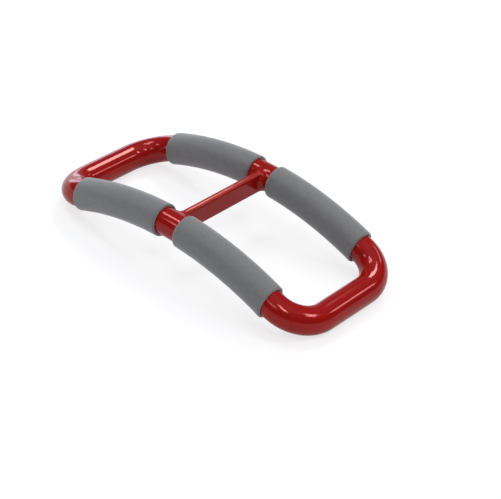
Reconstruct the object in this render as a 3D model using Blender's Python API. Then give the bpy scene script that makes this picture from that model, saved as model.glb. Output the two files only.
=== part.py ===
"""Standing support handle: a closed loop of bent steel tube whose two long sides arch upwards, a flat
crossbar welded between them, and four foam grips, one on each half of each long side.

Metres, +Z up. The long sides run along X and the crossbar along Y. The origin is under the middle of the
frame, on the surface that its two ends stand on. Front is the side at -Y, and left is the end at -X.
"""

import math

import bmesh
import bpy
from mathutils import Matrix, Vector

# Frame tube, and the shape that it is bent to along its centreline.
TUBE_DIAMETER = 0.032
TUBE_WALL = 0.0015
FRAME_WIDTH = 0.150
ARCH_RADIUS = 0.396
CORNER_RADIUS = 0.041
ARCH_TO_CORNER = 0.004

# Foam grips, and the bare tube between a grip and the weld in the middle, and between it and the arch's end.
GRIP_LENGTH = 0.131
GRIP_WALL = 0.003
GRIP_SLIT = 0.0004
GRIP_END_ROUND = 0.0015
GRIP_TO_WELD = 0.00405
GRIP_TO_ARCH_END = 0.0005

# Crossbar: flat tube set on edge, whose rounded edges leave a flat of BAR_EDGE_FLAT on its top and bottom. Its
# top lies BAR_TOP_STEP below the top of the frame tube, and its bottom BAR_BOTTOM_STEP above the tube's bottom.
BAR_WIDTH = 0.0089
BAR_EDGE_FLAT = 0.0007
BAR_TOP_STEP = 0.00345
BAR_BOTTOM_STEP = 0.00185
BAR_WALL = 0.0015
BAR_WELD_LEG = 0.006
VENT_DIAMETER = 0.004

# Butt joints, where the two bows of the loop meet under a grip.
BUTT_OPENING = 0.003
LINER_LENGTH = 0.050
LINER_WALL = 0.0015

# Clearance between pieces that touch.
FIT_GAP = 0.0003

# Fineness of the facets. The crossbar's narrow flats lie across the frame's middle plane, so that no corner of
# it lies in that plane, where the facets that the cope is cut by meet.
TUBE_SIDES = 24
ARCH_STEP = 0.0183
CORNER_STEPS = 9
ROUND_STEPS = 2
BAR_EDGE_STEPS = 5
WELD_SIDE_STEPS = 6
WELD_CURVE_STEPS = 5
WELD_FLANK_STEPS = 3

# Sizes that follow from the ones above.
TUBE_RADIUS = TUBE_DIAMETER / 2
BORE_RADIUS = TUBE_RADIUS - TUBE_WALL
GRIP_BORE_RADIUS = TUBE_RADIUS + FIT_GAP
HALF_WIDTH = FRAME_WIDTH / 2
BAR_HEIGHT = TUBE_DIAMETER - BAR_TOP_STEP - BAR_BOTTOM_STEP
BAR_DROP = (BAR_TOP_STEP - BAR_BOTTOM_STEP) / 2
BARE_MIDDLE = BAR_WIDTH + 2 * (BAR_WELD_LEG + GRIP_TO_WELD)
GRIP_CENTRE = BARE_MIDDLE / 2 + GRIP_LENGTH / 2
GRIP_ANGLE = GRIP_CENTRE / ARCH_RADIUS
BUTT_HALF_ANGLE = BUTT_OPENING / 2 / ARCH_RADIUS
ARCH_ANGLE = (BARE_MIDDLE / 2 + GRIP_LENGTH + GRIP_TO_ARCH_END) / ARCH_RADIUS

# One facet of each end tube points straight down, and the frame stands on those two.
SIDE_ANGLE = 2 * math.pi / TUBE_SIDES
FLAT_BELOW_CENTRE = TUBE_RADIUS * math.cos(SIDE_ANGLE / 2)
ARCH_DROP = ARCH_RADIUS * (1 - math.cos(ARCH_ANGLE)) + (ARCH_TO_CORNER + CORNER_RADIUS) * math.sin(ARCH_ANGLE)
ARCH_CENTRE = Vector((0, 0, ARCH_DROP + FLAT_BELOW_CENTRE - ARCH_RADIUS))

# Base colour, roughness and metallic value.
PAINT_RED = ((0.30, 0.006, 0.008, 1), 0.1, 0.0)
FOAM_GREY = ((0.17, 0.17, 0.18, 1), 0.85, 0.0)
BARE_STEEL = ((0.42, 0.41, 0.40, 1), 0.45, 1.0)


def clear_scene():
    for item in list(bpy.data.objects):
        bpy.data.objects.remove(item, do_unlink=True)


def material(name, finish):
    colour, roughness, metallic = finish
    made = bpy.data.materials.new(name)
    made.use_nodes = True
    shader = made.node_tree.nodes["Principled BSDF"]
    shader.inputs["Base Color"].default_value = colour
    shader.inputs["Roughness"].default_value = roughness
    shader.inputs["Metallic"].default_value = metallic
    return made


def mesh_of(bm, name):
    """The finished mesh, facing out, smooth along the tubes and crisp at their cut ends."""
    bmesh.ops.recalc_face_normals(bm, faces=bm.faces)
    mesh = bpy.data.meshes.new(name)
    bm.to_mesh(mesh)
    bm.free()
    mesh.shade_smooth()
    mesh.set_sharp_from_angle(angle=math.radians(40))
    return mesh


def place(name, mesh, finish=None, swing=0.0, back=False):
    """Puts a mesh, modelled about the arch's centre, on its place: swung along the arch towards +X, then
    turned half round to the back of the frame. Without a finish it is a cutter."""
    item = bpy.data.objects.new(name, mesh)
    item.location = ARCH_CENTRE
    item.rotation_euler = (0, swing, math.pi if back else 0)
    bpy.context.scene.collection.objects.link(item)
    if finish is None:
        item.hide_render = True
        item.display_type = "WIRE"
        return item
    if not mesh.materials:
        mesh.materials.append(None)
    item.material_slots[0].link = "OBJECT"
    item.material_slots[0].material = material(name, finish)
    return item


def cut(item, tool):
    difference = item.modifiers.new(tool.name, "BOOLEAN")
    difference.operation = "DIFFERENCE"
    difference.solver = "EXACT"
    difference.object = tool


def section_point(radius, angle):
    """A point of the front tube's section at the crown. The angle runs from the top towards the middle of
    the frame. The arch's centre is the mesh's origin."""
    return Vector((0, radius * math.sin(angle) - HALF_WIDTH, radius * math.cos(angle) + ARCH_RADIUS))


def corner_angle(corner):
    """Corners 0 and -1 bound the facet that points straight down in the end tubes."""
    return math.pi + ARCH_ANGLE + (corner + 0.5) * SIDE_ANGLE


def ring_section(bm, outer, inner, slit=0.0):
    """A ring of faces across the tube. A slit leaves it open at the corner nearest to straight down."""
    first = round(-ARCH_ANGLE / SIDE_ANGLE - 0.5) if slit else 0
    rims = []
    for radius in (outer, inner):
        angles = [corner_angle(first + side) for side in range(TUBE_SIDES)]
        if slit:
            angles.append(angles[0] + 2 * math.pi - slit / 2 / radius)
            angles[0] += slit / 2 / radius
        rims.append([bm.verts.new(section_point(radius, angle)) for angle in angles])
    outside, inside = rims
    for side in range(TUBE_SIDES):
        after = (side + 1) % len(outside)
        bm.faces.new((outside[side], outside[after], inside[after], inside[side]))
    return bm.faces[:] + bm.edges[:] + bm.verts[:]


def disc_section(bm, radius):
    bm.faces.new([bm.verts.new(section_point(radius, corner_angle(side))) for side in range(TUBE_SIDES)])
    return bm.faces[:] + bm.edges[:] + bm.verts[:]


def verts_in(geometry):
    return [part for part in geometry if isinstance(part, bmesh.types.BMVert)]


def swing_to(bm, section, angle):
    bmesh.ops.rotate(bm, verts=verts_in(section), cent=(0, 0, 0), matrix=Matrix.Rotation(angle, 3, "Y"))


def bend(bm, section, centre, axis, angle, steps):
    """Draws the section round an axis, as a tube bender does. Returns the section at the bend's end."""
    return bmesh.ops.spin(bm, geom=section, cent=centre, axis=axis, angle=angle, steps=steps)["geom_last"]


def bend_arch(bm, section, angle):
    steps = max(1, math.ceil(abs(angle) * ARCH_RADIUS / ARCH_STEP))
    return bend(bm, section, (0, 0, 0), (0, 1, 0), angle, steps)


def run(bm, section, length, direction):
    drawn = bmesh.ops.extrude_face_region(bm, geom=section)["geom"]
    bmesh.ops.translate(bm, verts=verts_in(drawn), vec=direction * length)
    return drawn


def arch_length(bm, section, length):
    """A length that follows the arch, with its middle at the crown."""
    half_angle = length / 2 / ARCH_RADIUS
    swing_to(bm, section, -half_angle)
    return bend_arch(bm, section, 2 * half_angle)


def bow_mesh():
    """Half of the loop: from the front butt joint, under the front right grip, round the right end, and
    back along the whole of the other long side to the back butt joint."""
    bm = bmesh.new()
    section = ring_section(bm, TUBE_RADIUS, BORE_RADIUS)
    swing_to(bm, section, GRIP_ANGLE + BUTT_HALF_ANGLE)
    section = bend_arch(bm, section, ARCH_ANGLE - GRIP_ANGLE - BUTT_HALF_ANGLE)
    outward = Vector((math.cos(ARCH_ANGLE), 0, -math.sin(ARCH_ANGLE)))
    upward = Vector((math.sin(ARCH_ANGLE), 0, math.cos(ARCH_ANGLE)))
    across = Vector((0, 1, 0))
    section = run(bm, section, ARCH_TO_CORNER, outward)
    corner_line = upward * ARCH_RADIUS + outward * ARCH_TO_CORNER
    corner_side = HALF_WIDTH - CORNER_RADIUS
    section = bend(bm, section, corner_line - across * corner_side, upward, math.pi / 2, CORNER_STEPS)
    section = run(bm, section, 2 * corner_side, across)
    section = bend(bm, section, corner_line + across * corner_side, upward, math.pi / 2, CORNER_STEPS)
    section = run(bm, section, ARCH_TO_CORNER, -outward)
    section = bend_arch(bm, section, -ARCH_ANGLE)
    bend_arch(bm, section, -(GRIP_ANGLE - BUTT_HALF_ANGLE))
    return mesh_of(bm, "bow")


def grip_mesh():
    """Foam sleeve, slit along its underside to go round the closed loop, with rounded outer rims."""
    bm = bmesh.new()
    grip_radius = GRIP_BORE_RADIUS + GRIP_WALL
    section = ring_section(bm, grip_radius, GRIP_BORE_RADIUS, GRIP_SLIT)
    arch_length(bm, section, GRIP_LENGTH)
    half_angle = GRIP_LENGTH / 2 / ARCH_RADIUS
    rims = [edge for edge in bm.edges if is_end_rim(edge, half_angle, grip_radius)]
    bmesh.ops.bevel(bm, geom=rims, offset=GRIP_END_ROUND, segments=ROUND_STEPS, profile=0.5, affect="EDGES")
    return mesh_of(bm, "grip")


def is_end_rim(edge, half_angle, radius):
    """True for an edge that runs round the outside of an end face."""
    for vert in edge.verts:
        from_end = half_angle - abs(math.atan2(vert.co.x, vert.co.z))
        from_axis = math.hypot(math.hypot(vert.co.x, vert.co.z) - ARCH_RADIUS, vert.co.y + HALF_WIDTH)
        if abs(from_end) > 1e-5 or abs(from_axis - radius) > 1e-5:
            return False
    return True


def liner_mesh():
    """Tube inside a butt joint, which lines the two bows up and backs the weld."""
    bm = bmesh.new()
    liner_radius = BORE_RADIUS - FIT_GAP
    arch_length(bm, ring_section(bm, liner_radius, liner_radius - LINER_WALL), LINER_LENGTH)
    return mesh_of(bm, "liner")


def butt_weld_mesh():
    """Ring of weld between the bows' ends, dressed flush so that the grip lies flat on it."""
    bm = bmesh.new()
    arch_length(bm, ring_section(bm, TUBE_RADIUS, BORE_RADIUS), BUTT_OPENING - 2 * FIT_GAP)
    return mesh_of(bm, "butt_weld")


def tube_envelope_mesh():
    """What the crossbar's ends are coped to: the front tube near the crown, with the clearance added."""
    bm = bmesh.new()
    section = disc_section(bm, TUBE_RADIUS + FIT_GAP)
    half_angle = ARCH_ANGLE / math.ceil(ARCH_ANGLE * ARCH_RADIUS / ARCH_STEP)
    swing_to(bm, section, -half_angle)
    bend_arch(bm, bend_arch(bm, section, half_angle), half_angle)
    return mesh_of(bm, "tube_envelope")


def bar_outline(margin, side_steps):
    """Points (x, height above the crown's centreline) all round the crossbar's section, each with the
    direction out of it. The margin is added outside."""
    radius = (BAR_WIDTH - BAR_EDGE_FLAT) / 2
    wide, high = BAR_EDGE_FLAT / 2, BAR_HEIGHT / 2 - radius
    outline = []
    for corner, (right, up) in enumerate(((1, 1), (-1, 1), (-1, -1), (1, -1))):
        for step in range(BAR_EDGE_STEPS + 1):
            angle = (corner + step / BAR_EDGE_STEPS) * math.pi / 2
            out = Vector((math.cos(angle), math.sin(angle)))
            outline.append((out * (radius + margin) + Vector((right * wide, up * high - BAR_DROP)), out))
        # The side's own points follow its first corner: the left side goes down and the right side up.
        for step in range(1, side_steps if right != up else 1):
            out = Vector((-up, 0))
            height = up * high * (1 - 2 * step / side_steps) - BAR_DROP
            outline.append((out * (radius + margin) + Vector((right * wide, height)), out))
    return outline


def crossbar_mesh():
    """Flat tube as long as the frame is wide, before its ends are coped."""
    bm = bmesh.new()
    rims = []
    for margin in (0.0, -BAR_WALL):
        points = [point for point, out in bar_outline(margin, 1)]
        rims.append([bm.verts.new((x, -HALF_WIDTH, ARCH_RADIUS + height)) for x, height in points])
    outside, inside = rims
    for side in range(len(outside)):
        after = (side + 1) % len(outside)
        bm.faces.new((outside[side], outside[after], inside[after], inside[side]))
    run(bm, bm.faces[:] + bm.edges[:] + bm.verts[:], FRAME_WIDTH, Vector((0, 1, 0)))
    return mesh_of(bm, "crossbar")


def on_front_tube(along, round_tube, radius):
    """A point on the front tube, from its angle along the arch and its angle round the section, which runs
    from the middle of the frame towards the top."""
    from_centre = ARCH_RADIUS + radius * math.sin(round_tube)
    return Vector((
        from_centre * math.sin(along),
        radius * math.cos(round_tube) - HALF_WIDTH,
        from_centre * math.cos(along),
    ))


def bezier(points, share):
    """De Casteljau's construction."""
    while len(points) > 1:
        points = [a.lerp(b, share) for a, b in zip(points, points[1:])]
    return points[0]


def bar_weld_outline(x, height, out):
    """The fillet's section at one place round the crossbar: a hollow curve from its toe on the crossbar to
    its toe on the tube, back along the tube to the corner between them, and back along the crossbar."""
    radius = TUBE_RADIUS + FIT_GAP
    along = math.atan2(x, ARCH_RADIUS + height)
    round_tube = math.asin((math.hypot(x, ARCH_RADIUS + height) - ARCH_RADIUS) / radius)
    spread = Vector((
        out.x * math.cos(along) - out.y * math.sin(along),
        (out.x * math.sin(along) + out.y * math.cos(along)) * math.cos(round_tube),
    )).normalized() * BAR_WELD_LEG

    def on_tube(share):
        along_here = along + share * spread.x / ARCH_RADIUS
        return on_front_tube(along_here, round_tube + share * spread.y / radius, radius)

    corner = on_tube(0)
    bar_toe = corner + Vector((0, BAR_WELD_LEG, 0))
    tube_toe = on_tube(1)
    tube_tangent = (on_tube(1.01) - on_tube(0.99)).normalized()
    pull = 0.6 * BAR_WELD_LEG
    curve = [bar_toe, bar_toe - Vector((0, pull, 0)), tube_toe - tube_tangent * pull, tube_toe]
    outline = [bezier(curve, step / WELD_CURVE_STEPS) for step in range(WELD_CURVE_STEPS)]
    outline += [on_tube(1 - step / WELD_FLANK_STEPS) for step in range(WELD_FLANK_STEPS)]
    outline.append(corner)
    return outline


def bar_weld_mesh():
    """Fillet of weld all round the crossbar's front end."""
    bm = bmesh.new()
    loops = []
    for (x, height), out in bar_outline(FIT_GAP, WELD_SIDE_STEPS):
        loops.append([bm.verts.new(point) for point in bar_weld_outline(x, height, out)])
    for here, there in zip(loops, loops[1:] + loops[:1]):
        for corner in range(len(here)):
            after = (corner + 1) % len(here)
            bm.faces.new((here[corner], here[after], there[after], there[corner]))
    return mesh_of(bm, "bar_weld")


def vent_mesh():
    """Drill for the hole in the front tube's inner wall, inside the crossbar's end."""
    bm = bmesh.new()
    middle = Vector((0, -HALF_WIDTH + TUBE_RADIUS, ARCH_RADIUS - BAR_DROP))
    bmesh.ops.create_cone(
        bm,
        cap_ends=True,
        segments=12,
        radius1=VENT_DIAMETER / 2,
        radius2=VENT_DIAMETER / 2,
        depth=TUBE_RADIUS,
        matrix=Matrix.Translation(middle) @ Matrix.Rotation(math.pi / 2, 4, "X"),
    )
    return mesh_of(bm, "vent")


def build():
    clear_scene()
    bow, butt_weld, liner = bow_mesh(), butt_weld_mesh(), liner_mesh()
    grip, bar_weld = grip_mesh(), bar_weld_mesh()
    tube_envelope, vent = tube_envelope_mesh(), vent_mesh()
    crossbar = place("crossbar", crossbar_mesh(), PAINT_RED)
    for side, back, bow_end in (("front", False, "left"), ("back", True, "right")):
        cut(crossbar, place(f"cope_{side}", tube_envelope, back=back))
        # The bow whose long leg is on this side has the vent, and ends beyond the middle of the other.
        tube = place(f"bow_{bow_end}", bow, PAINT_RED, back=not back)
        cut(tube, place(f"vent_{side}", vent, back=back))
        place(f"butt_weld_{side}", butt_weld, PAINT_RED, GRIP_ANGLE, back)
        place(f"liner_{side}", liner, BARE_STEEL, GRIP_ANGLE, back)
        place(f"bar_weld_{side}", bar_weld, PAINT_RED, back=back)
        left_swing = GRIP_ANGLE if back else -GRIP_ANGLE
        place(f"grip_{side}_left", grip, FOAM_GREY, left_swing, back)
        place(f"grip_{side}_right", grip, FOAM_GREY, -left_swing, back)


build()
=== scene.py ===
import math

import bpy
from mathutils import Matrix, Vector


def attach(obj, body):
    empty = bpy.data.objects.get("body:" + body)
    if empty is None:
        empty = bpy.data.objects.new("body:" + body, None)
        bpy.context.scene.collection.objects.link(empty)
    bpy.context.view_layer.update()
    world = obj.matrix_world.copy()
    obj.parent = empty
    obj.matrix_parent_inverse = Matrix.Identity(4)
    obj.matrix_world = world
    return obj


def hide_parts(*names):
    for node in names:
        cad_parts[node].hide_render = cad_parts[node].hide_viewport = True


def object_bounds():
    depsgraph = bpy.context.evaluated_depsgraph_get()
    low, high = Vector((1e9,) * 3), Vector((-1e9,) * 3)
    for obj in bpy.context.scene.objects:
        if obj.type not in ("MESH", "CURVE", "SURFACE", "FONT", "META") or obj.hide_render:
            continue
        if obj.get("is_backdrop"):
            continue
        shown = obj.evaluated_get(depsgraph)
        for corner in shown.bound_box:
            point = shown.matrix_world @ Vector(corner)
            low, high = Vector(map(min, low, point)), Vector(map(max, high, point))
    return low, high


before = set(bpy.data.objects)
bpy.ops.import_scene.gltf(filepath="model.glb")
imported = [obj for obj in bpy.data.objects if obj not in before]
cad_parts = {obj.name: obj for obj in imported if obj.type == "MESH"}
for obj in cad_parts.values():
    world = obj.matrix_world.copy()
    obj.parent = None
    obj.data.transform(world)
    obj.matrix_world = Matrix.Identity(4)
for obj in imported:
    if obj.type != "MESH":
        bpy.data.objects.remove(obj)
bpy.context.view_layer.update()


# Frame tube. Steel tube, 32 mm across, drawn round a bender into two equal bows. Each bow is most of one
# long side, two tight corners, one end and a short part of the other side. The bows are butt welded under
# two of the grips, then the whole frame is coated with glossy red paint.
tube_radius = 0.016
tube_wall = 0.0015
half_width = 0.075
arch_radius = 0.396
corner_radius = 0.041
arch_to_corner = 0.004
grip_length = 0.131
bare_middle = 0.029
grip_to_arch_end = 0.0005
butt_opening = 0.003
tube_sides = 96
short_arch_steps = 24
long_arch_steps = 72
corner_steps = 36
cad_tube_sides = 24
smooth_angle = math.radians(50)
paint_red = (0.30, 0.005, 0.003, 1)
paint_roughness = 0.08
peel_size = 0.0025
peel_depth_in_mm = 0.006
bump_distance = 0.001

joint_angle = (bare_middle + grip_length) / 2 / arch_radius
butt_half_angle = butt_opening / 2 / arch_radius
arch_angle = (bare_middle / 2 + grip_length + grip_to_arch_end) / arch_radius
arch_to_end = arch_to_corner + corner_radius
arch_drop = arch_radius * (1 - math.cos(arch_angle)) + arch_to_end * math.sin(arch_angle)
# The height of the tube's centreline in the middle. The CAD model's tubes have flat sides, and it stands
# on one of them.
crown_height = arch_drop + tube_radius * math.cos(math.pi / cad_tube_sides)
arch_centre = Vector((0, 0, crown_height - arch_radius))


def along_arch(angle):
    """The way along the arch towards the right end, at an angle from its crown."""
    return Vector((math.cos(angle), 0, -math.sin(angle)))


def out_of_arch(angle):
    """The way up, square to the arch, at an angle from its crown towards the right end."""
    return Vector((math.sin(angle), 0, math.cos(angle)))


# The ways along and up where the arch ends, the middle of the line on which the corners begin, and the
# points round which the right end's two corners are bent.
across = Vector((0, 1, 0))
outward = along_arch(arch_angle)
upward = out_of_arch(arch_angle)
corner_side = half_width - corner_radius
corner_line = arch_centre + upward * arch_radius + outward * arch_to_corner
front_corner = corner_line - across * corner_side
back_corner = corner_line + across * corner_side
half_round = Matrix.Rotation(math.pi, 4, "Z")


def ring_across_tube(angle, sides, radius, fill_type="NOTHING"):
    """Adds a circle across the front long side, at an angle from the arch's crown towards the right end,
    and leaves it selected in edit mode."""
    bpy.ops.object.select_all(action="DESELECT")
    bpy.ops.mesh.primitive_circle_add(
        vertices=sides,
        radius=radius,
        fill_type=fill_type,
        location=arch_centre + arch_radius * out_of_arch(angle) - across * half_width,
        rotation=(0, math.pi / 2 + angle, 0),
    )
    bpy.ops.object.mode_set(mode="EDIT")
    bpy.ops.mesh.select_all(action="SELECT")
    return bpy.context.object


def bend(angle, centre, axis, steps):
    """Draws the selected section round an axis by the right-hand rule. The operator turns the other way."""
    bpy.ops.mesh.spin(steps=steps, angle=-angle, center=centre, axis=axis)


def run_straight(way):
    """Draws the selected section along a straight."""
    bpy.ops.mesh.extrude_region_move(TRANSFORM_OT_translate={"value": way})


def face_outwards():
    """Selects the whole mesh in edit mode and turns its faces outwards."""
    bpy.ops.mesh.select_all(action="SELECT")
    bpy.ops.mesh.normals_make_consistent(inside=False)


def finish_piece(piece, name):
    """Leaves edit mode, names the piece, puts its place into its mesh, and shades its round faces smooth."""
    bpy.ops.object.mode_set(mode="OBJECT")
    bpy.ops.object.transform_apply(location=True, rotation=True, scale=True)
    piece.name = piece.data.name = name
    bpy.ops.object.shade_smooth_by_angle(angle=smooth_angle)


def add_modifier(piece, kind, **settings):
    """Adds a modifier with these settings, applies it, and shades the piece again."""
    modifier = piece.modifiers.new(kind.lower(), kind)
    for setting, value in settings.items():
        setattr(modifier, setting, value)
    bpy.ops.object.modifier_apply(modifier=modifier.name)
    bpy.ops.object.shade_smooth_by_angle(angle=smooth_angle)


def copy_piece(piece, name):
    """Copies a piece, with a mesh of its own."""
    made = piece.copy()
    made.data = piece.data.copy()
    made.name = made.data.name = name
    bpy.context.scene.collection.objects.link(made)
    return made


# One bow runs from the joint under the front right grip round the right end, and along the back long side
# to the joint under the back left grip. The other is the same, turned half round.
bow = ring_across_tube(joint_angle + butt_half_angle, tube_sides, tube_radius)
bend(arch_angle - joint_angle - butt_half_angle, arch_centre, across, short_arch_steps)
run_straight(outward * arch_to_corner)
bend(math.pi / 2, front_corner, upward, corner_steps)
run_straight(across * 2 * corner_side)
bend(math.pi / 2, back_corner, upward, corner_steps)
run_straight(-outward * arch_to_corner)
bend(-(arch_angle + joint_angle - butt_half_angle), arch_centre, across, long_arch_steps)
face_outwards()
finish_piece(bow, "tube_bow_right")
add_modifier(bow, "SOLIDIFY", thickness=tube_wall, offset=-1)
other_bow = copy_piece(bow, "tube_bow_left")
other_bow.data.transform(half_round)


def start_material(name):
    """Makes a material, and returns it and its node tree."""
    made = bpy.data.materials.new(name)
    made.use_nodes = True
    return made, made.node_tree


def feed(tree, node, inputs):
    """Gives a node's inputs, by name or number, plain values or the outputs of other nodes."""
    for socket, value in inputs.items():
        if isinstance(value, bpy.types.NodeSocket):
            tree.links.new(value, node.inputs[socket])
        else:
            node.inputs[socket].default_value = value


def add_node(tree, kind, inputs, **settings):
    """Adds a shader node with these settings and inputs, and returns its outputs."""
    node = tree.nodes.new(kind)
    for setting, value in settings.items():
        setattr(node, setting, value)
    feed(tree, node, inputs)
    return node.outputs


def peel_group():
    """Node group for the skin of a sprayed gloss coat: a shallow orange peel, and slow changes of depth of
    colour and of gloss."""
    group = bpy.data.node_groups.new("coat_skin", "ShaderNodeTree")
    for name, way, kind in (
        ("Colour", "INPUT", "NodeSocketColor"),
        ("Peel Size", "INPUT", "NodeSocketFloat"),
        ("Peel Depth", "INPUT", "NodeSocketFloat"),
        ("Dullness", "INPUT", "NodeSocketFloat"),
        ("Colour", "OUTPUT", "NodeSocketColor"),
        ("Roughness", "OUTPUT", "NodeSocketFloat"),
        ("Height", "OUTPUT", "NodeSocketFloat"),
    ):
        group.interface.new_socket(name, in_out=way, socket_type=kind)
    given = group.nodes.new("NodeGroupInput").outputs
    place = group.nodes.new("ShaderNodeTexCoord").outputs["Object"]

    per_metre = add_node(group, "ShaderNodeMath", {0: 1.0, 1: given["Peel Size"]}, operation="DIVIDE")
    peel = add_node(group, "ShaderNodeTexNoise", {
        "Vector": place,
        "Scale": per_metre[0],
        "Detail": 2.0,
        "Roughness": 0.4,
    })
    height = add_node(
        group,
        "ShaderNodeMath",
        {0: peel["Fac"], 1: given["Peel Depth"]},
        operation="MULTIPLY",
    )

    cloud = add_node(group, "ShaderNodeTexNoise", {"Vector": place, "Scale": 35.0, "Detail": 3.0})
    deeper = add_node(group, "ShaderNodeMapRange", {
        "Value": cloud["Fac"],
        "From Min": 0.3,
        "From Max": 0.7,
        "To Min": 0.95,
        "To Max": 1.05,
    })
    tint = add_node(
        group,
        "ShaderNodeVectorMath",
        {0: given["Colour"], "Scale": deeper["Result"]},
        operation="SCALE",
    )

    duller = add_node(group, "ShaderNodeMapRange", {
        "Value": cloud["Fac"],
        "From Min": 0.3,
        "From Max": 0.7,
        "To Min": 0.8,
        "To Max": 1.3,
    })
    roughness = add_node(
        group,
        "ShaderNodeMath",
        {0: given["Dullness"], 1: duller["Result"]},
        operation="MULTIPLY",
    )

    add_node(group, "NodeGroupOutput", {
        "Colour": tint["Vector"],
        "Roughness": roughness[0],
        "Height": height[0],
    })
    return group


coat_skin = peel_group()


def red_paint(name):
    """Glossy red paint. The bump's distance makes metres of the depth of its orange peel."""
    made, tree = start_material(name)
    skin_inputs = {
        "Colour": paint_red,
        "Peel Size": peel_size,
        "Peel Depth": peel_depth_in_mm,
        "Dullness": paint_roughness,
    }
    skin = add_node(tree, "ShaderNodeGroup", skin_inputs, node_tree=coat_skin)
    bump = add_node(tree, "ShaderNodeBump", {"Distance": bump_distance, "Height": skin["Height"]})
    feed(tree, tree.nodes["Principled BSDF"], {
        "Base Color": skin["Colour"],
        "Metallic": 0.1,
        "Roughness": skin["Roughness"],
        "IOR": 1.33,
        "Normal": bump["Normal"],
    })
    return made


tube_paint = red_paint("red_paint_on_tube")
for piece, node in ((bow, "bow_right"), (other_bow, "bow_left")):
    piece.data.materials.append(tube_paint)
    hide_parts(node)
    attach(piece, "root")


# Crossbar. Flat steel tube with well rounded edges, set on edge between the long sides in the middle of
# the frame, and coped at both ends to fit round them. It is painted with the frame.
bar_width = 0.0089
bar_height = 0.0267
bar_edge_radius = 0.0041
bar_drop = 0.0008
bar_wall = 0.0015
bar_sides = 64
cope_clearance = 0.0001
cope_half_angle = 0.08
cope_steps = 12

# A circle, turned so that no corner lies on its middle lines, whose quarters are moved apart.
bpy.ops.object.select_all(action="DESELECT")
bpy.ops.mesh.primitive_circle_add(
    vertices=bar_sides,
    radius=bar_edge_radius,
    location=(0, -half_width, crown_height - bar_drop),
    rotation=(math.pi / 2, math.pi / bar_sides, 0),
)
bar = bpy.context.object
bpy.ops.object.transform_apply(location=False, rotation=True, scale=False)
flat_high, flat_wide = bar_height / 2 - bar_edge_radius, bar_width / 2 - bar_edge_radius
for vertex in bar.data.vertices:
    vertex.co.x += math.copysign(flat_wide, vertex.co.x)
    vertex.co.z += math.copysign(flat_high, vertex.co.z)
bpy.ops.object.mode_set(mode="EDIT")
bpy.ops.mesh.select_all(action="SELECT")
run_straight(across * 2 * half_width)
face_outwards()
finish_piece(bar, "flat_crossbar")
add_modifier(bar, "SOLIDIFY", thickness=bar_wall, offset=-1)
for turned in (False, True):
    cope = ring_across_tube(-cope_half_angle, tube_sides, tube_radius + cope_clearance, fill_type="NGON")
    bend(2 * cope_half_angle, arch_centre, across, cope_steps)
    finish_piece(cope, "cope")
    if turned:
        cope.data.transform(half_round)
    bpy.ops.object.select_all(action="DESELECT")
    bar.select_set(True)
    bpy.context.view_layer.objects.active = bar
    add_modifier(bar, "BOOLEAN", operation="DIFFERENCE", solver="EXACT", object=cope)
    bpy.data.objects.remove(cope)
bar.data.materials.append(red_paint("red_paint_on_crossbar"))
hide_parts("crossbar")
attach(bar, "root")


# Fillet welds. A bead of weld runs all round each end of the crossbar. It is laid hollow, so that the bar
# flows into the long side, and painted over.
leg_on_bar = 0.006
leg_on_tube = 0.006
# The share of each leg by which the hollow is pulled from its toe towards the corner between bar and tube,
# and how deep the toes lie in the bar's and the tube's skins.
fillet_pull = 0.6
toe_depth = 0.00002
toe_nudge = 0.01
fillet_stations = 192
fillet_across = 16
fillet_flank = 4


def bar_point(share):
    """A point on the crossbar's section, across the bar and up from the centreline of the arch, and the
    way out of the bar there. The share is that of the way round, from the middle of the right side over
    the top."""
    quarter, part = divmod(4 * share, 1)
    run = (1 - part if quarter % 2 else part) * (flat_high + math.pi / 2 * bar_edge_radius + flat_wide)
    turn = min(max((run - flat_high) / bar_edge_radius, 0), math.pi / 2)
    out = Vector((math.cos(turn), math.sin(turn)))
    point = (bar_edge_radius - toe_depth) * out + Vector((flat_wide, min(run, flat_high)))
    point.x -= max(run - flat_high - math.pi / 2 * bar_edge_radius, 0)
    side = Vector((1 if quarter in (0, 3) else -1, 1 if quarter < 2 else -1))
    return point * side - Vector((0, bar_drop)), out * side


def on_front_tube(along, round_tube):
    """A point on the front long side, from its angle along the arch and its angle round the tube, which
    runs from the middle of the frame towards the top."""
    skin = tube_radius - toe_depth
    from_centre = arch_radius + skin * math.sin(round_tube)
    return arch_centre + Vector((
        from_centre * math.sin(along),
        skin * math.cos(round_tube) - half_width,
        from_centre * math.cos(along),
    ))


def fillet_outline(share_round):
    """The bead's section at one place round the crossbar: the hollow from its toe on the bar to its toe on
    the tube, then back inside the tube's skin to the corner between the two."""
    (x, height), out = bar_point(share_round)
    along = math.atan2(x, arch_radius + height)
    rise = math.hypot(x, arch_radius + height) - arch_radius
    round_tube = math.asin(rise / (tube_radius - toe_depth))
    spread = leg_on_tube * Vector((
        out.x * math.cos(along) - out.y * math.sin(along),
        (out.x * math.sin(along) + out.y * math.cos(along)) * math.cos(round_tube),
    )).normalized()

    def on_tube(share):
        """A point on the tube, between the crossbar's foot and the bead's toe."""
        along_there = along + share * spread.x / arch_radius
        return on_front_tube(along_there, round_tube + share * spread.y / tube_radius)

    bar_toe = on_tube(0) + across * leg_on_bar
    tube_toe = on_tube(1)
    tube_way = (on_tube(1 + toe_nudge) - on_tube(1 - toe_nudge)).normalized()
    bar_pull, tube_pull = across * fillet_pull * leg_on_bar, tube_way * fillet_pull * leg_on_tube
    pulls = [bar_toe, bar_toe - bar_pull, tube_toe - tube_pull, tube_toe]
    outline = []
    for step in range(fillet_across):
        share = step / fillet_across
        points = pulls
        while len(points) > 1:
            points = [here.lerp(there, share) for here, there in zip(points, points[1:])]
        outline.append(points[0])
    return outline + [on_tube(1 - step / fillet_flank) for step in range(fillet_flank + 1)]


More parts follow.
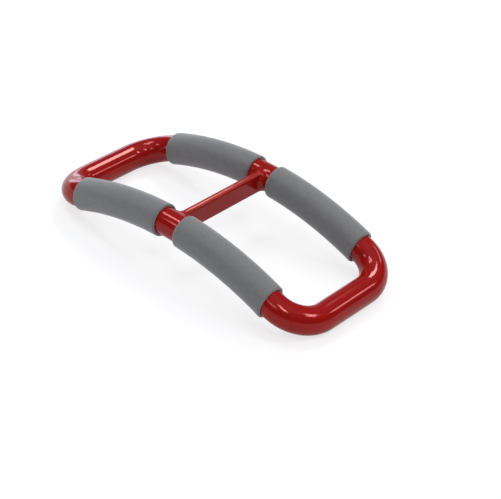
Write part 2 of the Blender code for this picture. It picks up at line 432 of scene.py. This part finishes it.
# A torus, whose rings of vertices are moved one after the other to the bead's places round the crossbar.
bpy.ops.object.select_all(action="DESELECT")
bpy.ops.mesh.primitive_torus_add(
    major_segments=fillet_stations,
    minor_segments=fillet_across + fillet_flank + 1,
)
fillet = bpy.context.object
bead = iter(fillet.data.vertices)
for station in range(fillet_stations):
    for point in fillet_outline(station / fillet_stations):
        next(bead).co = point
bpy.ops.object.mode_set(mode="EDIT")
face_outwards()
finish_piece(fillet, "fillet_weld_front")
fillet.data.materials.append(red_paint("red_paint_on_weld"))
back_fillet = copy_piece(fillet, "fillet_weld_back")
back_fillet.data.transform(half_round)
for piece, node in ((fillet, "bar_weld_front"), (back_fillet, "bar_weld_back")):
    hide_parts(node)
    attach(piece, "root")


# Butt joints. Where the bows meet, a short steel liner inside the tube lines them up, and a ring of weld,
# dressed flush and painted, fills the gap. Both are covered by a grip.
steel_light = (0.42, 0.41, 0.40, 1)
steel_dark = (0.294, 0.287, 0.28, 1)


def add_ramp(tree, value, stops):
    """Adds a colour ramp that reads a value, through stops that are each a place and a colour."""
    ramp = tree.nodes.new("ShaderNodeValToRGB")
    tree.links.new(value, ramp.inputs["Fac"])
    elements = ramp.color_ramp.elements
    elements.remove(elements[1])
    elements[0].position, elements[0].color = stops[0]
    for place, colour in stops[1:]:
        elements.new(place).color = colour
    return ramp.outputs


def drawn_steel():
    """Bare steel tube, with fine lines along it from the drawing."""
    made, tree = start_material("drawn_steel")
    place = tree.nodes.new("ShaderNodeTexCoord").outputs["Object"]
    stretch = add_node(tree, "ShaderNodeMapping", {"Vector": place, "Scale": (0.05, 1, 1)})
    grain = add_node(tree, "ShaderNodeTexNoise", {
        "Vector": stretch["Vector"],
        "Scale": 900.0,
        "Detail": 3.0,
    })
    shade = add_ramp(tree, grain["Fac"], ((0, steel_dark), (1, steel_light)))
    dull = add_node(tree, "ShaderNodeMapRange", {"Value": grain["Fac"], "To Min": 0.28, "To Max": 0.52})
    feed(tree, tree.nodes["Principled BSDF"], {
        "Base Color": shade["Color"],
        "Metallic": 1.0,
        "Roughness": dull["Result"],
    })
    return made


liner_finish = drawn_steel()
weld_finish = red_paint("red_paint_on_butt_weld")
for side in ("front", "back"):
    for node, finish in ((f"liner_{side}", liner_finish), (f"butt_weld_{side}", weld_finish)):
        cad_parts[node].data.materials.clear()
        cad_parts[node].data.materials.append(finish)


# Foam grips. Four sleeves of grey closed-cell foam, each one hand long, slit underneath so that they go
# round the closed loop, and glued. Their ends are cut square towards the middle, and towards the corners
# half-way between square and plumb, with the edges rubbed round.
grip_radius = 0.0193
grip_bore = 0.01605
grip_end_reach = 0.1436
grip_end_lean = math.radians(10.5)
grip_edge = 0.0019
grip_lip = 0.0011
grip_spare = 0.003
grip_corner_angle = 0.5
grip_sides = 96
grip_arch_steps = 84
grip_corner_steps = 18
grip_edge_steps = 6
seam_half_width = 0.0004
seam_depth = 0.0005
skin_margin = 0.0001
plumb_margin = 1e-6
foam_light = (0.189, 0.19, 0.191, 1)
foam_dark = (0.149, 0.15, 0.151, 1)

# The sleeve is drawn too long at both ends, on into the corner, and cut there afterwards.
grip_start = bare_middle / 2 / arch_radius
spare_angle = grip_spare / arch_radius
grip = ring_across_tube(grip_start - spare_angle, grip_sides, grip_radius)
bend(arch_angle - grip_start + spare_angle, arch_centre, across, grip_arch_steps)
run_straight(outward * arch_to_corner)
bend(grip_corner_angle, front_corner, upward, grip_corner_steps)
face_outwards()
finish_piece(grip, "foam_grip")
add_modifier(grip, "SOLIDIFY", thickness=grip_radius - grip_bore, offset=-1)


def centreline(point):
    """The nearest point on the centreline of the front long side or its right corner, and the way down."""
    past_arch = (point - corner_line).dot(outward)
    if past_arch > 0:
        from_corner = point - front_corner
        from_corner -= upward * from_corner.dot(upward)
        return front_corner + from_corner.normalized() * corner_radius, -upward
    if past_arch > -arch_to_corner:
        return corner_line - across * half_width + outward * past_arch, -upward
    out = Vector((point.x - arch_centre.x, 0, point.z - arch_centre.z)).normalized()
    return arch_centre + arch_radius * out - across * half_width, -out


def on_seam(point):
    """Whether a point lies straight under the centreline, outside the bore."""
    nearest, down = centreline(point)
    from_line = point - nearest
    outside_bore = from_line.length > grip_bore + skin_margin
    return outside_bore and from_line.normalized().dot(down) > 1 - plumb_margin


# The lowest edges become a narrow strip, whose middle line will be sunk as the slit.
bpy.ops.object.mode_set(mode="EDIT")
bpy.ops.mesh.select_mode(type="EDGE")
bpy.ops.mesh.select_all(action="DESELECT")
bpy.ops.object.mode_set(mode="OBJECT")
for edge in grip.data.edges:
    edge.select = all(on_seam(grip.data.vertices[corner].co) for corner in edge.vertices)
bpy.ops.object.mode_set(mode="EDIT")
bpy.ops.mesh.bevel(offset=seam_half_width, segments=2, profile=0.5, affect="EDGES")

# Each end is cut and closed, and rings of corners are cut into the sleeve near it, for the rounding.
end_rise = math.sqrt(arch_radius ** 2 - grip_end_reach ** 2)
grip_ends = (
    (arch_centre + arch_radius * out_of_arch(grip_start), -along_arch(grip_start)),
    (arch_centre + Vector((grip_end_reach, 0, end_rise)), along_arch(grip_end_lean)),
)
for place, way in grip_ends:
    bpy.ops.mesh.select_all(action="SELECT")
    bpy.ops.mesh.bisect(plane_co=place, plane_no=way, clear_outer=True)
    bpy.ops.mesh.bridge_edge_loops()
    for step in range(1, grip_edge_steps + 1):
        depth = grip_edge * (1 - math.cos(math.pi / 2 * step / grip_edge_steps))
        bpy.ops.mesh.select_all(action="SELECT")
        bpy.ops.mesh.bisect(plane_co=place - way * depth, plane_no=way)
face_outwards()
bpy.ops.object.mode_set(mode="OBJECT")

# The edges of both ends are rubbed round, outside and in the bore, and the slit is sunk.
for vertex in grip.data.vertices:
    nearest, down = centreline(vertex.co)
    out = (vertex.co - nearest).normalized()
    outside = (vertex.co - nearest).length > grip_radius - skin_margin
    edge = grip_edge if outside else grip_lip
    trim = seam_depth if on_seam(vertex.co) else 0
    for place, way in grip_ends:
        short = edge - (place - vertex.co).dot(way)
        if short > 0:
            out -= way * out.dot(way)
            trim = max(trim, edge - math.sqrt(edge ** 2 - min(short, edge) ** 2))
    vertex.co += out * (-trim if outside else trim)
bpy.ops.object.shade_smooth_by_angle(angle=smooth_angle)


def grey_foam():
    """Dull grey closed-cell foam, mottled, with fine pores whose pits carry painted shade, and a soft sheen.
    """
    made, tree = start_material("grey_foam")
    place = tree.nodes.new("ShaderNodeTexCoord").outputs["Object"]
    mottle = add_node(tree, "ShaderNodeTexNoise", {
        "Vector": place,
        "Scale": 240.0,
        "Detail": 3.0,
        "Roughness": 0.8,
    })
    shade = add_ramp(tree, mottle["Fac"], ((0.3, foam_dark), (0.7, foam_light)))
    cells = add_node(tree, "ShaderNodeTexVoronoi", {"Vector": place, "Scale": 1400.0})
    # Painted shade: the colour is darkened by up to a fifth in the pits of the pores, where the bump sinks.
    pore_shade = add_node(tree, "ShaderNodeMapRange", {
        "Value": cells["Distance"],
        "From Min": 0.0,
        "From Max": 0.35,
        "To Min": 0.8,
        "To Max": 1.0,
    })
    pore_shaded_foam = add_node(
        tree,
        "ShaderNodeVectorMath",
        {0: shade["Color"], "Scale": pore_shade["Result"]},
        operation="SCALE",
    )
    bump = add_node(tree, "ShaderNodeBump", {"Distance": 0.00008, "Height": cells["Distance"]})
    feed(tree, tree.nodes["Principled BSDF"], {
        "Base Color": pore_shaded_foam["Vector"],
        "Roughness": 0.65,
        "Diffuse Roughness": 1.0,
        "Specular IOR Level": 0.8,
        "Sheen Weight": 0.7,
        "Sheen Roughness": 0.4,
        "Normal": bump["Normal"],
    })
    return made


grip.data.materials.append(grey_foam())
other_hand = Matrix.Scale(-1, 4, (1, 0, 0))
for side, end, turned, flipped in (
    ("front", "right", False, False),
    ("front", "left", False, True),
    ("back", "left", True, False),
    ("back", "right", True, True),
):
    sleeve = copy_piece(grip, f"foam_grip_{side}_{end}")
    if flipped:
        sleeve.data.transform(other_hand)
        sleeve.data.flip_normals()
    if turned:
        sleeve.data.transform(half_round)
    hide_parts(f"grip_{side}_{end}")
    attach(sleeve, "root")
bpy.data.objects.remove(grip)


# Studio. A plain white floor on which the handle stands, a dim room with a pale ceiling, four large soft
# boxes high up all round, five small ones below them, and daylight from a window on the far left.
floor_level = crown_height - arch_drop - tube_radius
floor_size = 12
floor_grey = (0.78, 0.78, 0.78, 1)
seen_grey = (0.28, 0.28, 0.28, 1)
seen_glow = 0.73
mirrored_share = 0.5

bpy.ops.object.select_all(action="DESELECT")
bpy.ops.mesh.primitive_plane_add(size=floor_size, location=(0, 0, floor_level))
floor = bpy.context.object
floor.name = "floor"

# The camera sees the floor as white, with the handle's shadow on it. The light that it sends up to the
# handle is that of a pale grey floor, and reflections show it half-way between the two.
floor_paint, tree = start_material("pale_floor")
ray = tree.nodes.new("ShaderNodeLightPath").outputs
mirrored = add_node(
    tree,
    "ShaderNodeMath",
    {0: ray["Is Glossy Ray"], 1: ray["Is Transmission Ray"]},
    operation="ADD",
)
seen = add_node(
    tree,
    "ShaderNodeMath",
    {0: mirrored[0], 1: mirrored_share, 2: ray["Is Camera Ray"]},
    operation="MULTIPLY_ADD",
    use_clamp=True,
)
shade = add_node(
    tree,
    "ShaderNodeMix",
    {"Factor": seen[0], "A": floor_grey, "B": seen_grey},
    data_type="RGBA",
)
glow = add_node(tree, "ShaderNodeMath", {0: seen[0], 1: seen_glow}, operation="MULTIPLY")
feed(tree, tree.nodes["Principled BSDF"], {
    "Base Color": shade["Result"],
    "Roughness": 1.0,
    "Specular IOR Level": 0.0,
    "Emission Color": (1, 1, 1, 1),
    "Emission Strength": glow[0],
})
floor.data.materials.append(floor_paint)
floor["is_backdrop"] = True

# The room is white up to a little above the horizon, dim above that, and paler towards the ceiling. Its
# heights are angles in degrees.
white_height = 6.6
room_levels = ((7.6, 0.12), (30, 0.14), (48, 0.32), (57, 0.32), (66, 0.65))
room_tint = (0.95, 1, 1.15)
stops = [(math.sin(math.radians(white_height)), (1, 1, 1, 1))]
for height, level in room_levels:
    stops.append((math.sin(math.radians(height)), (*(level * part for part in room_tint), 1)))
world = bpy.data.worlds.new("studio")
bpy.context.scene.world = world
world.use_nodes = True
tree = world.node_tree
look = tree.nodes.new("ShaderNodeTexCoord").outputs["Generated"]
look_parts = add_node(tree, "ShaderNodeSeparateXYZ", {"Vector": look})
room = add_ramp(tree, look_parts["Z"], stops)
feed(tree, tree.nodes["Background"], {"Color": room["Color"], "Strength": 1.0})

# The lamps' places, sizes and tilts are angles in degrees, as seen from the handle. Their levels are how
# bright they look from there, and their distances are in metres.
daylight = (0.8, 0.95, 1.3)
shaded_daylight = (0.92, 0.98, 1.15)
lamp_light = (1, 0.98, 0.94)
for name, bearing, height, wide, high, tilt, level, distance, colour in (
    ("soft_box_back_left", 110.5, 52.2, 20.5, 9, -32, 16, 4, lamp_light),
    ("soft_box_back_right", 33, 51.8, 18, 8, 24, 12, 4, lamp_light),
    ("soft_box_front_right", -36, 60.5, 8, 18, 0, 13, 4, lamp_light),
    ("soft_box_left", 181, 67, 17, 8, 0, 10, 4, shaded_daylight),
    ("small_box_left", 180, 56.3, 10, 8.2, 0, 11, 4, lamp_light),
    ("small_box_back_right", 51, 34.5, 9, 6, 0, 9, 4, lamp_light),
    ("small_box_back", 83.5, 33, 7, 10, 0, 4, 4, lamp_light),
    ("small_box_front_left", -132, 43, 10, 10, 0, 6, 4, lamp_light),
    ("small_box_front", -77, 45.5, 13, 11, 0, 4, 4, lamp_light),
    ("window", 137, 16, 44, 20, 0, 0.3, 4, daylight),
    ("near_window", 155, 7.5, 34, 9, 0, 2.2, 0.7, daylight),
):
    bearing, height = math.radians(bearing), math.radians(height)
    way = Vector((
        math.cos(bearing) * math.cos(height),
        math.sin(bearing) * math.cos(height),
        math.sin(height),
    ))
    bpy.ops.object.light_add(type="AREA", location=way * distance)
    lamp = bpy.context.object
    lamp.name = lamp.data.name = name
    facing = way.to_track_quat("Z", "Y").to_matrix()
    lamp.rotation_euler = (facing @ Matrix.Rotation(math.radians(tilt), 3, "Z")).to_euler()
    lamp.data.shape = "RECTANGLE"
    lamp.data.size = 2 * distance * math.tan(math.radians(wide / 2))
    lamp.data.size_y = 2 * distance * math.tan(math.radians(high / 2))
    lamp.data.color = colour
    lamp.data.energy = level * math.pi * lamp.data.size * lamp.data.size_y
    lamp.visible_camera = False

bpy.context.scene.view_settings.view_transform = "Standard"


# Camera, at the photograph's viewing angle: in front of the handle, to the right of it and above it.
lens = bpy.data.cameras.new("camera")
lens.lens = 109.66
lens.sensor_width = 36
camera = bpy.data.objects.new("camera", lens)
camera.location = (0.95295, -1.07806, 0.99098)
camera.rotation_euler = [math.radians(turn) for turn in (55.2213, -3.3433, 42.3475)]
bpy.context.scene.collection.objects.link(camera)
bpy.context.scene.camera = camera

low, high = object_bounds()
